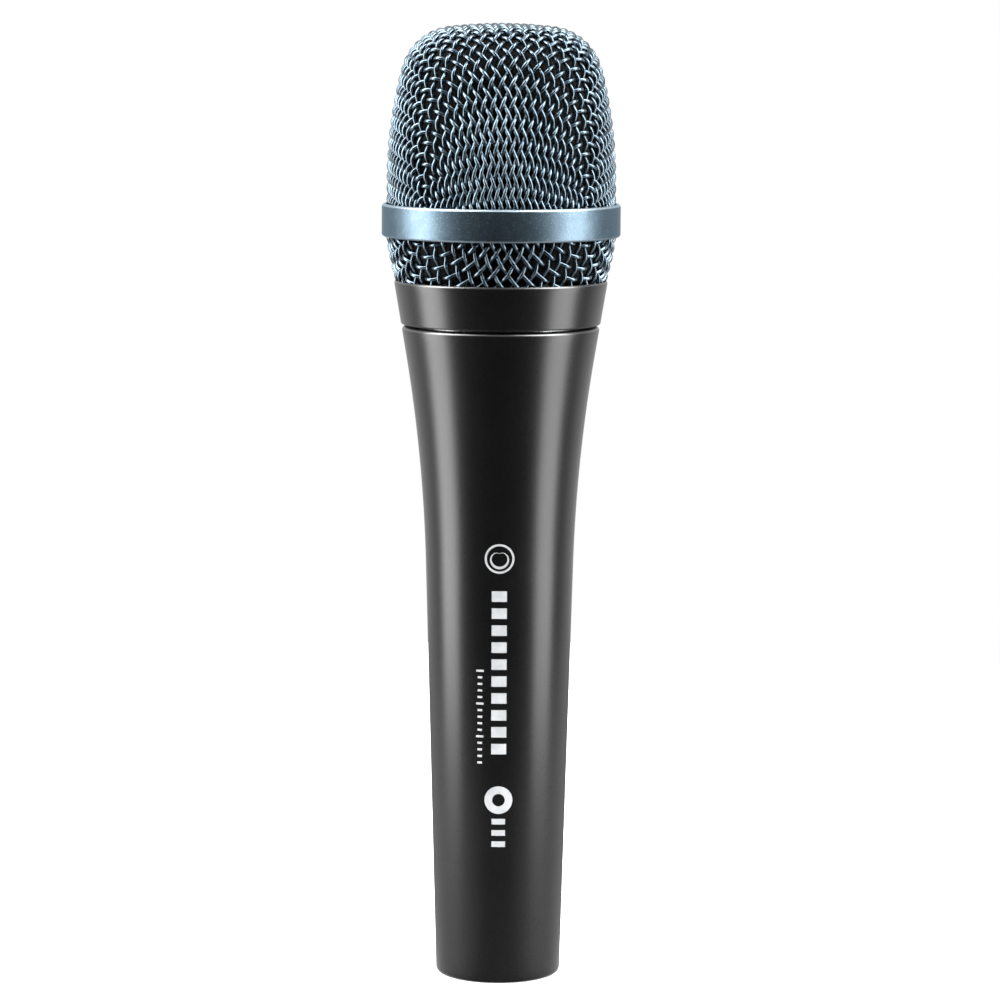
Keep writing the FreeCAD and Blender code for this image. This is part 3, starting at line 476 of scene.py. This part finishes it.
def relaxNet(bowl, look, endDepth):
    profile = bowlProfile(bowl)
    along = np.concatenate([[0], np.cumsum(np.hypot(*np.diff(profile, axis=0).T))])
    reach = np.interp(endDepth + look["reach"], profile[:, 1], along)
    size = int(reach / look["pitch"]) + 1
    count = np.arange(-size, size + 1)
    rows, columns = np.meshgrid(count, count, indexing="ij")
    flat, turn = look["pitch"] * np.hypot(rows, columns), np.arctan2(columns, rows)
    inside = flat <= reach
    r, depth = np.interp(flat, along, profile[:, 0]), np.interp(flat, along, profile[:, 1])
    net = np.stack([r * np.cos(turn), r * np.sin(turn), depth], -1)
    whole, head, tail = slice(None), slice(0, -1), slice(1, None)
    wires = [((head, whole), (tail, whole)), ((whole, head), (whole, tail))]
    diagonals = [((head, head), (tail, tail)), ((head, tail), (tail, head))]
    first, middle, last = slice(0, -2), slice(1, -1), slice(2, None)
    bends = [((first, whole), (middle, whole), (last, whole)),
             ((whole, first), (whole, middle), (whole, last))]
    for step in range(look["passes"]):
        move, weight = np.zeros_like(net), np.zeros(net.shape[:2])
        for a, b in wires:
            pair = inside[a] & inside[b]
            gap = net[b] - net[a]
            length = np.linalg.norm(gap, axis=-1)
            pull = gap * ((length - look["pitch"]) / length * 0.5 * pair)[..., None]
            move[a] += pull
            move[b] -= pull
            weight[a] += pair
            weight[b] += pair
        for a, b in diagonals:
            pair = inside[a] & inside[b]
            gap = net[b] - net[a]
            length = np.maximum(np.linalg.norm(gap, axis=-1), 1e-9)
            short = np.minimum(length - look["lock"], 0) * pair
            skew = (length - look["pitch"] * math.sqrt(2)) * 0.5 * look["shear"] * pair
            push = gap * ((short + skew) / length)[..., None]
            move[a] += push
            move[b] -= push
            weight[a] += 2.0 * (short < 0) + look["shear"] * pair
            weight[b] += 2.0 * (short < 0) + look["shear"] * pair
        for a, m, b in bends:
            share = look["stiffness"] * (inside[a] & inside[m] & inside[b])
            pull = ((net[a] + net[b]) / 2 - net[m]) * share[..., None]
            move[m] += pull
            move[a] -= pull / 2
            move[b] -= pull / 2
            weight[m] += share
            weight[a] += share / 2
            weight[b] += share / 2
        net = net + look["gain"] * move / np.maximum(weight, 1)[..., None]
        gap, out = bowlGap(bowl, net)
        net = net - out * gap[..., None]
    return net, inside, size


def wirePath(bowl, run, signs, look):  # smooth line through the crossings, waving over and under
    knots = np.vstack([2 * run[0] - run[1], run, 2 * run[-1] - run[-2]])
    shares = np.arange(look["samples"]) / look["samples"]
    t = shares[None, :, None]
    p0, p1, p2, p3 = (knots[i:len(knots) - 3 + i][:, None, :] for i in range(4))
    line = 0.5 * (2 * p1 + (p2 - p0) * t + (2 * p0 - 5 * p1 + 4 * p2 - p3) * t ** 2
                  + (3 * p1 - p0 - 3 * p2 + p3) * t ** 3).reshape(-1, 3)
    wave = (np.array(signs[:-1])[:, None] * np.cos(math.pi * shares)[None, :]).reshape(-1) * look["wire"] / 2
    gap, out = bowlGap(bowl, line)
    return line + out * (wave - gap)[:, None]


def weave(name, bowl, look, net, inside, size, depths, toWorld, family):
    curve = bpy.data.curves.new(name, "CURVE")
    curve.dimensions = "3D"
    curve.bevel_depth = look["wire"] / 2
    curve.bevel_resolution = 1
    curve.use_fill_caps = True
    for k in range(-size, size + 1):
        row = [(i, k) if family == 0 else (k, i) for i in range(-size, size + 1)]
        row = [place for place in row if inside[place[0] + size, place[1] + size]]
        if len(row) < 3:
            continue
        run = np.array([net[i + size, j + size] for i, j in row])
        signs = [1 if (i + j + family) % 2 == 0 else -1 for i, j in row]
        stretch = []
        for spot in list(wirePath(bowl, run, signs, look)) + [None]:
            if spot is not None and depths[0] <= spot[2] <= depths[1]:
                stretch.append(toWorld @ Vector(spot))
                continue
            if len(stretch) > 2:
                spline = curve.splines.new("POLY")
                spline.points.add(len(stretch) - 1)
                for spot4, place in zip(spline.points, stretch):
                    spot4.co = (*place, 1.0)
            stretch = []
    rough = bpy.data.objects.new(name + "Curve", curve)
    bpy.context.scene.collection.objects.link(rough)
    mesh = bpy.data.meshes.new_from_object(rough.evaluated_get(bpy.context.evaluated_depsgraph_get()))
    bpy.data.objects.remove(rough)
    bm = bmesh.new()
    bm.from_mesh(mesh)
    bpy.data.meshes.remove(mesh)
    bmesh.ops.recalc_face_normals(bm, faces=bm.faces)
    print(name, "wires", len(curve.splines), "triangles", sum(len(face.verts) - 2 for face in bm.faces))
    piece = newPiece(name, bm, "head", sharpAngle=80.0)
    piece.data.materials.append(materials["grille_wire"])
    return piece


domeLow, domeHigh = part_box("upper_basket")
cupLow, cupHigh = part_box("lower_basket")
bandLow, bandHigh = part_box("head_band")
collarLow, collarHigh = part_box("head_collar")
domeSideZ, cupFloorZ = 157 * mm, 135 * mm
domeLook = dict(capRadius=85 * mm, shoulderRadius=11 * mm, sideRadius=85 * mm, sideDeg=0.0,
                rimRadius=domeHigh.x, rimDepth=domeHigh.z - domeSideZ)
cupLook = dict(capRadius=2000 * mm, shoulderRadius=1.6 * mm, sideRadius=61 * mm, sideDeg=7.9,
               rimRadius=cupHigh.x, rimDepth=bandLow.z - cupFloorZ)
cupHem = 0.1 * mm


def makeBasket(names, bowlLook, topZ, sign, depths, replaced):
    bowl = bowlShape(bowlLook, meshLook["wire"])
    net, inside, size = relaxNet(bowl, meshLook, depths[1])
    turned = Matrix.Rotation(math.radians(meshLook["turnDeg"]), 4, "Z")
    toWorld = Matrix.Translation((0, 0, topZ)) @ Matrix.Scale(sign, 4, (0, 0, 1)) @ turned
    for family, name in enumerate(names):
        piece = weave(name, bowl, meshLook, net, inside, size, depths, toWorld, family)
        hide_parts(replaced)


makeBasket(("domeWarp", "domeWeft"), domeLook, domeHigh.z, -1, (0.0, domeHigh.z - domeLow.z), "upper_basket")
makeBasket(("cupWarp", "cupWeft"), cupLook, cupFloorZ, 1,
           (cupLow.z + cupHem - cupFloorZ, cupHigh.z - cupFloorZ), "lower_basket")
print("grille woven")

foamLook = dict(inset=1.92 * mm, thickness=2.95 * mm, roughness=0.16 * mm, cell=1.3 * mm,
                longestEdge=2.2 * mm, cupBore=17.2 * mm, rounding=0.6 * mm, cupTopGap=0.1 * mm,
                cupRow=0.4 * mm, cupRows=19)


def domeOutline(inset, lowZ):
    bowl = bowlShape(domeLook, inset)
    points = bowlProfile(bowl)[:-1][::8]  # every eighth, without the one past the rim
    outline = [(max(r, 0.0), domeHigh.z - depth) for r, depth in points]
    outline[0] = (0.0, outline[0][1])
    return outline + [(bowl["rimRadius"], lowZ)]


def makeFoams():
    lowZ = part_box("upper_foam")[0].z
    outline = domeOutline(foamLook["inset"], lowZ)
    outline += reversed(domeOutline(foamLook["inset"] + foamLook["thickness"], lowZ))
    bm = lathe(outline, 144)
    longEdges = [edge for edge in bm.edges if edge.calc_length() > foamLook["longestEdge"]]
    bmesh.ops.subdivide_edges(bm, edges=longEdges, cuts=1, use_grid_fill=True)
    roughen(bm, foamLook["roughness"], foamLook["cell"])
    upper = newPiece("upperFoam", bm, "head", ["upper_foam"])
    low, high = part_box("lower_foam")
    inner, edge = foamLook["cupBore"], foamLook["rounding"]
    outer = high.x - foamLook["cupTopGap"]
    rows = [low.z + foamLook["cupRow"] * row for row in range(1, foamLook["cupRows"] + 1)]
    outline = [(inner, low.z + edge), (inner + edge, low.z)]
    outline += [(cupWall(z) - foamLook["inset"], z) for z in rows]
    outline += [(outer, high.z - edge), (outer - edge, high.z),
                (inner + edge, high.z), (inner, high.z - edge)]
    bm = lathe(outline, 144)
    roughen(bm, foamLook["roughness"], foamLook["cell"])
    lower = newPiece("lowerFoam", bm, "head", ["lower_foam"])
    for foam in (upper, lower):
        foam.data.materials.append(materials["black_foam"])


cupWallLook = dict(lowRadius=20.3 * mm, bulge=0.88 * mm)


def cupWall(z):  # outside radius of the cup's wires
    share = (z - cupLow.z) / (bandLow.z - cupLow.z)
    straight = cupWallLook["lowRadius"] + share * (cupHigh.x - cupWallLook["lowRadius"])
    return straight + cupWallLook["bulge"] * share * (1 - share)


bandLook = dict(rounding=0.6 * mm, wall=0.75 * mm, web=0.8 * mm, webReach=2.7 * mm)


def makeBand():
    radius, low, high = bandHigh.x, bandLow.z, bandHigh.z
    edge = bandLook["rounding"]
    inner = radius - bandLook["wall"]
    webRadius = radius - bandLook["webReach"]
    middle, half = (low + high) / 2, bandLook["web"] / 2
    outline = arcPoints((radius - edge, low + edge), edge, -90, 0, 6)
    outline += arcPoints((radius - edge, high - edge), edge, 0, 90, 6)
    outline += [(inner, high), (inner, middle + half), (webRadius, middle + half),
                (webRadius, middle - half), (inner, middle - half), (inner, low)]
    band = newPiece("band", lathe(outline, 192), "head", ["head_band"])
    band.data.materials.append(materials["blue_grey_band"])


handleLook = dict(baseRadius=12.24 * mm, baseRound=1.0 * mm, taperZ=82 * mm, taperRadius=14.51 * mm,
                  flare=300 * mm, flareDeg=9.5, wall=2.0 * mm, seatRadius=16.6 * mm, seatZ=121.5 * mm,
                  cavityZ=24 * mm, ledgeRadius=8.9 * mm, insertRadius=9.55 * mm, insertZ=20.2 * mm,
                  softEdge=0.8 * mm, mouthEdge=0.3 * mm, rows=80, innerRow=2.5 * mm, innerRows=16)
taper = math.atan2(handleLook["taperRadius"] - handleLook["baseRadius"], handleLook["taperZ"])
flareX = handleLook["taperRadius"] + handleLook["flare"] * math.cos(taper)
flareZ = handleLook["taperZ"] - handleLook["flare"] * math.sin(taper)
flareEndZ = flareZ + handleLook["flare"] * math.sin(math.radians(handleLook["flareDeg"]))
flareEndR = flareX - handleLook["flare"] * math.cos(math.radians(handleLook["flareDeg"]))


def outsideRadius(z):  # handle and collar share one outline
    if z <= handleLook["taperZ"]:
        return handleLook["baseRadius"] + z * math.tan(taper)
    if z <= flareEndZ:
        return flareX - math.sqrt(handleLook["flare"] ** 2 - (z - flareZ) ** 2)
    return flareEndR + (z - flareEndZ) * math.tan(math.radians(handleLook["flareDeg"]))


def makeHandle():
    look = handleLook
    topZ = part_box("handle_shell")[1].z
    edge, soft, rows = look["baseRound"], look["softEdge"], look["rows"]
    wallRows = [edge + (topZ - soft - edge) * row / rows for row in range(1, rows + 1)]
    outline = arcPoints((outsideRadius(edge) - edge, edge), edge, -90, 0, 8)
    outline += [(outsideRadius(z), z) for z in wallRows]
    outline += arcPoints((outsideRadius(topZ - soft) - soft, topZ - soft), soft, 5, 90, 9)
    outline += [(look["seatRadius"], topZ), (look["seatRadius"], look["seatZ"])]
    innerRows = [look["seatZ"] - look["innerRow"] * row for row in range(look["innerRows"])]
    outline += [(outsideRadius(z) - look["wall"], z) for z in innerRows + [look["cavityZ"]]]
    outline += [(look["ledgeRadius"], look["cavityZ"] - look["wall"]), (look["ledgeRadius"], look["insertZ"]),
                (look["insertRadius"], look["insertZ"]), (look["insertRadius"], look["mouthEdge"]),
                (look["insertRadius"] + look["mouthEdge"], 0.0)]
    handle = newPiece("handle", lathe(outline, 160), "handle", ["handle_shell"])
    handle.data.materials.append(materials["black_lacquer"])
    drillScrewHole(handle)


drillLook = dict(radius=1.5 * mm, length=8 * mm, centerY=12.5 * mm)


def drillScrewHole(handle):  # round hole in the back over the set screw
    low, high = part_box("lock_screw")
    middle = (low + high) / 2
    bm = bmesh.new()
    bmesh.ops.create_cone(bm, cap_ends=True, segments=32, radius1=drillLook["radius"],
                          radius2=drillLook["radius"], depth=drillLook["length"])
    bmesh.ops.rotate(bm, verts=bm.verts, cent=(0, 0, 0), matrix=Matrix.Rotation(math.pi / 2, 3, "X"))
    bmesh.ops.translate(bm, verts=bm.verts, vec=(0, drillLook["centerY"], middle.z))
    mesh = bpy.data.meshes.new("drill")
    bm.to_mesh(mesh)
    bm.free()
    drill = bpy.data.objects.new("drill", mesh)
    bpy.context.scene.collection.objects.link(drill)
    cut = handle.modifiers.new("screwHole", "BOOLEAN")
    cut.operation = "DIFFERENCE"
    cut.solver = "EXACT"
    cut.object = drill
    drilled = bpy.data.meshes.new_from_object(handle.evaluated_get(bpy.context.evaluated_depsgraph_get()))
    handle.modifiers.clear()
    handle.data = drilled
    handle.data.name = "handle"
    bpy.data.objects.remove(drill)
    drilled.shade_smooth()
    drilled.set_sharp_from_angle(angle=math.radians(30))


collarLook = dict(threadWall=17.7 * mm, threadCrest=17.02 * mm, pitch=1.5 * mm, threadTurns=2.6,
                  threadTop=134.6 * mm, threadFoot=0.4 * mm, threadSink=0.05 * mm, recess=18.3 * mm,
                  recessTop=135.7 * mm, opening=17.4 * mm, lipRound=0.9 * mm, lipGap=0.02 * mm,
                  lipDrop=0.1 * mm, softEdge=0.4 * mm, innerEdge=0.3 * mm, grooveZ=136.25 * mm,
                  grooveOuter=20.34 * mm, grooveInner=18.6 * mm, rows=8)


def makeCollar():
    look = collarLook
    low, high = collarLow.z, collarHigh.z
    soft, lip, edge, rows = look["softEdge"], look["lipRound"], look["innerEdge"], look["rows"]
    lipInner = cupWall(high) + look["lipGap"]
    lipTurn = math.acos(1 - (outsideRadius(high) - lipInner) / lip)  # the lip's round ends at the wires
    lipZ = high - lip * math.sin(lipTurn)
    wallRows = [low + (lipZ - low) * row / rows for row in range(1, rows)]
    outline = [(look["threadWall"] + edge, low)]
    outline += arcPoints((outsideRadius(low + soft) - soft, low + soft), soft, -90, 0, 6)
    outline += [(outsideRadius(z), z) for z in wallRows]
    outline += arcPoints((outsideRadius(lipZ) - lip, lipZ), lip, 0, math.degrees(lipTurn), 8)
    outline += [(lipInner, high - look["lipDrop"]), (look["grooveOuter"], look["grooveZ"]),
                (look["grooveInner"], look["grooveZ"]), (look["grooveInner"], high - edge),
                (look["opening"], high - edge), (look["opening"], look["recessTop"]),
                (look["recess"], look["recessTop"]), (look["recess"], look["threadTop"]),
                (look["threadWall"], look["threadTop"]), (look["threadWall"], low + edge)]
    bm = lathe(outline, 192)
    addThread(bm, look["threadWall"] + look["threadSink"], look["threadCrest"], low + look["threadFoot"],
              look["pitch"], look["threadTurns"])
    collar = newPiece("collar", bm, "head", ["head_collar"])
    collar.data.materials.append(materials["black_lacquer"])


neckLook = dict(wall=16.2 * mm, crest=16.88 * mm, pitch=1.5 * mm, threadTurns=2.5, threadFoot=0.5 * mm,
                threadSink=0.05 * mm, bore=15.2 * mm, ledge=14.0 * mm, ledgeLow=129.5 * mm,
                ledgeTop=131.0 * mm, ledgeSlope=1.2 * mm, flangeZ=128.88 * mm, flangeEdge=0.2 * mm,
                topEdge=0.3 * mm, seatGap=0.02 * mm)


def makeNeck():
    look = neckLook
    low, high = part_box("thread_ring")
    seat, edge = handleLook["seatRadius"] - look["seatGap"], look["topEdge"]
    outline = [(seat, low.z), (seat, look["flangeZ"]), (look["wall"], look["flangeZ"] + look["flangeEdge"]),
               (look["wall"], high.z - edge), (look["wall"] - edge, high.z), (look["bore"], high.z),
               (look["bore"], look["ledgeTop"]), (look["ledge"], look["ledgeTop"]),
               (look["ledge"], look["ledgeLow"]), (look["bore"], look["ledgeLow"] - look["ledgeSlope"]),
               (look["bore"], low.z)]
    bm = lathe(outline, 160)
    addThread(bm, look["wall"] - look["threadSink"], look["crest"], look["flangeZ"] + look["threadFoot"],
              look["pitch"], look["threadTurns"])
    neck = newPiece("neckThread", bm, "handle", ["thread_ring"])
    neck.data.materials.append(materials["neck_metal"])


printLook = dict(lift=0.035 * mm, thickness=0.02 * mm, badgeZ=84.6 * mm, badgeRadius=2.9 * mm,
                 badgeHole=0.86, signLift=0.25, signInner=0.78, signOuter=0.95, signWaist=0.88,
                 barsTop=77.2 * mm, barStep=3.35 * mm, bars=10, barWidth=2.95 * mm, barFill=0.62,
                 tickX=-3.75 * mm, tickWidth=1.5 * mm, tickHeight=0.42 * mm, tickTop=62.5 * mm,
                 tickStep=1.3 * mm, ticks=15, longTickEvery=5, shortTick=0.62,
                 dialZ=36.9 * mm, dialRadius=2.75 * mm, dialHole=0.45,
                 dotTop=32.6 * mm, dotStep=2.25 * mm, dots=3, dotWidth=0.9, dotFill=0.5)


def printRing(bm, centerZ, inner, outer, waist=0.0):  # flat ring, pulled in at its top by waist
    verts = [bm.verts.new((inner + (outer - inner) * share, 0.0, 0.0)) for share in (0.0, 0.5, 1.0)]
    edges = [bm.edges.new(pair) for pair in zip(verts, verts[1:])]
    before = set(bm.verts) - set(verts)
    bmesh.ops.spin(bm, geom=verts + edges, cent=(0, 0, 0), axis=(0, 0, 1), dvec=(0, 0, 0),
                   angle=2 * math.pi, steps=48, use_merge=True, use_duplicate=False)
    for vert in set(bm.verts) - before:
        turn = math.atan2(vert.co.y, vert.co.x)
        squeeze = 1 - waist * (0.5 + 0.5 * math.sin(turn))
        vert.co = Vector((vert.co.x * squeeze, centerZ + vert.co.y * squeeze, 0))


def printPatch(bm, centerX, centerZ, width, height):
    place = Matrix.Translation((centerX, centerZ, 0)) @ Matrix.Diagonal((width / 2, height / 2, 1, 1))
    bmesh.ops.create_grid(bm, x_segments=6, y_segments=2, size=1.0, matrix=place)


def makePrint():  # a polar-pattern sign, a ladder of plain bars, a row of ticks and a dial, on the handle
    look = printLook
    badge, dial, barWidth = look["badgeRadius"], look["dialRadius"], look["barWidth"]
    bm = bmesh.new()
    printRing(bm, look["badgeZ"], badge * look["badgeHole"], badge)
    printRing(bm, look["badgeZ"] + badge * look["signLift"], badge * look["signInner"],
              badge * look["signOuter"], look["signWaist"])
    for index in range(look["bars"]):
        height = look["barStep"] * look["barFill"]
        printPatch(bm, 0, look["barsTop"] - look["barStep"] * index, barWidth, height)
    for index in range(look["ticks"]):
        width = look["tickWidth"] * (1.0 if index % look["longTickEvery"] == 0 else look["shortTick"])
        printPatch(bm, look["tickX"], look["tickTop"] - look["tickStep"] * index, width, look["tickHeight"])
    printRing(bm, look["dialZ"], dial * look["dialHole"], dial)
    for index in range(look["dots"]):
        height = look["dotStep"] * look["dotFill"]
        printPatch(bm, 0, look["dotTop"] - look["dotStep"] * index, barWidth * look["dotWidth"], height)
    for vert in bm.verts:
        across, z = vert.co.x, vert.co.y
        radius = outsideRadius(z) + look["lift"]
        turn = across / radius
        vert.co = Vector((radius * math.sin(turn), -radius * math.cos(turn), z))
    bmesh.ops.remove_doubles(bm, verts=bm.verts, dist=weldGap)
    for face in bm.faces:
        if face.normal.y > 0:
            face.normal_flip()
    bmesh.ops.solidify(bm, geom=bm.faces[:], thickness=look["thickness"])
    ink = newPiece("handlePrint", bm, "handle", sharpAngle=60.0)
    ink.data.materials.append(materials["pale_ink"])


sleeveLook = dict(bore=7.62 * mm, crown=0.5 * mm, halfRows=6, edge=0.4 * mm, edgeHeight=0.5 * mm,
                  roughness=0.14 * mm, cell=1.2 * mm)


def makeSleeve():  # grey foam tube round the transformer, crowned between soft ends
    look = sleeveLook
    low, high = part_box("transformer_sleeve")
    inner, edge, rise = look["bore"], look["edge"], look["edgeHeight"]
    middle, half = (low.z + high.z) / 2, (high.z - low.z) / 2
    outline = []
    for row in range(2 * look["halfRows"] + 1):
        share = row / look["halfRows"] - 1
        outline.append((high.x - look["crown"] * share ** 4, middle + half * share))
    outline += [(inner + edge, high.z), (inner, high.z - rise), (inner, low.z + rise), (inner + edge, low.z)]
    bm = lathe(outline, 120)
    roughen(bm, look["roughness"], look["cell"])
    sleeve = newPiece("foamSleeve", bm, "handle", ["transformer_sleeve"])
    sleeve.data.materials.append(materials["grey_foam"])


feltLook = dict(bore=9.62 * mm, edge=0.35 * mm, roughness=0.06 * mm, cell=0.5 * mm)


def makeFelt():
    low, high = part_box("resistance_felt")
    inner, edge = feltLook["bore"], feltLook["edge"]
    outline = arcPoints((high.x - edge, low.z + edge), edge, -90, 0, 3)
    outline += arcPoints((high.x - edge, high.z - edge), edge, 0, 90, 3)
    outline += arcPoints((inner + edge, high.z - edge), edge, 90, 180, 3)
    outline += arcPoints((inner + edge, low.z + edge), edge, 180, 270, 3)
    bm = lathe(outline, 120)
    roughen(bm, feltLook["roughness"], feltLook["cell"])
    felt = newPiece("feltRing", bm, "capsule", ["resistance_felt"])
    felt.data.materials.append(materials["felt"])


clothLook = dict(edgeGap=0.05 * mm, thickness=0.2 * mm, rings=12, ripple=0.08 * mm, rippleSize=3.0 * mm)


def makeCloth():  # round dust cloth glued under the cap's holes
    look = clothLook
    low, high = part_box("dust_cloth")
    radius = high.x - look["edgeGap"]
    middle = (low.z + high.z) / 2
    bm = bmesh.new()
    verts = [bm.verts.new((radius * ring / look["rings"], 0.0, middle)) for ring in range(look["rings"] + 1)]
    edges = [bm.edges.new(pair) for pair in zip(verts, verts[1:])]
    bmesh.ops.spin(bm, geom=verts + edges, cent=(0, 0, 0), axis=(0, 0, 1), dvec=(0, 0, 0),
                   angle=2 * math.pi, steps=72, use_merge=True, use_duplicate=False)
    bmesh.ops.remove_doubles(bm, verts=bm.verts, dist=weldGap)
    for vert in bm.verts:
        vert.co.z += look["ripple"] * fieldNoise.noise(vert.co / look["rippleSize"])
    bmesh.ops.recalc_face_normals(bm, faces=bm.faces)
    bmesh.ops.solidify(bm, geom=bm.faces[:], thickness=look["thickness"])
    cloth = newPiece("dustCloth", bm, "capsule", ["dust_cloth"])
    cloth.data.materials.append(materials["acoustic_cloth"])


makeFoams()
makeBand()
makeHandle()
makeCollar()
makeNeck()
print("head, collar and handle made")
makePrint()
makeSleeve()
makeFelt()
makeCloth()
print("print and inner soft parts made")
